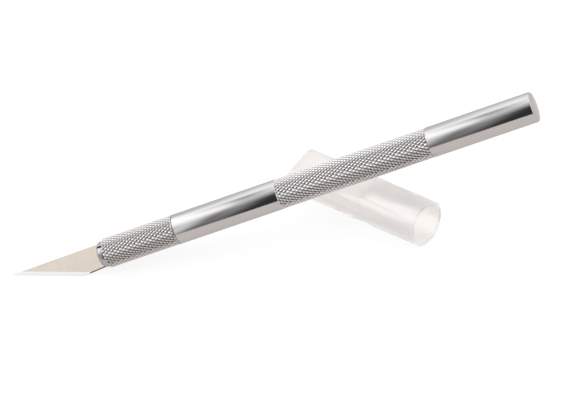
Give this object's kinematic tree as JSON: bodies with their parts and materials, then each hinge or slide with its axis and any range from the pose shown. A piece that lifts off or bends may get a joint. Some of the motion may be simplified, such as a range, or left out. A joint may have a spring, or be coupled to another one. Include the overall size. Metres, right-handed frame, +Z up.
{
  "type": "craft knife",
  "caption": "Slim metal craft knife with a screw-down collet, a pointed blade, knurled collar and grip, resting across its loose frosted safety cap.",
  "frame": {"origin": "middle of the bounding box on the table that the knife and the cap lie on", "axes": "+X along the knife as seen from above, from the blade's tip towards the tail; +Y away from the viewer, across the knife; +Z up from the table"},
  "size_m": [0.146, 0.0358, 0.0285],
  "materials": {
    "handle": "turned aluminium rod, fine lathe lines, soft shine",
    "collar": "turned aluminium, diamond knurl",
    "collet": "turned aluminium, rounded nose, soft shine",
    "blade": "satin carbon steel with a bright ground bevel",
    "cap": "frosted translucent polypropylene, satin"
  },
  "bodies": {
    "handle": {"handle": "handle"},
    "collar": {"collar": "collar"},
    "collet": {"collet": "collet"},
    "blade": {"blade": "blade"},
    "safety_cap": {"safety_cap": "cap"}
  },
  "joints": [
    {"name": "collar_turn", "type": "hinge", "parent": "handle", "child": "collar", "pos_m": [-0.03585, 0.00133, 0.00561], "axis": [-0.9849, 0, -0.1729], "range_deg": [0, 720]},
    {"name": "collet_advance", "type": "slide", "parent": "collar", "child": "collet", "axis": [-0.9849, 0, -0.1729], "range_m": [0, 0.0014]},
    {"name": "blade_slide", "type": "slide", "parent": "collet", "child": "blade", "axis": [-0.9849, 0, -0.1729], "range_m": [0, 0.016]},
    {"name": "cap_slide", "type": "slide", "parent": "handle", "child": "safety_cap", "axis": [0.749, -0.6626, 0], "range_m": [0, 0.045]}
  ],
  "couplings": [
    {"joint": "collar_turn", "follows": "collet_advance", "rad_per_m": 8975.9}
  ]
}
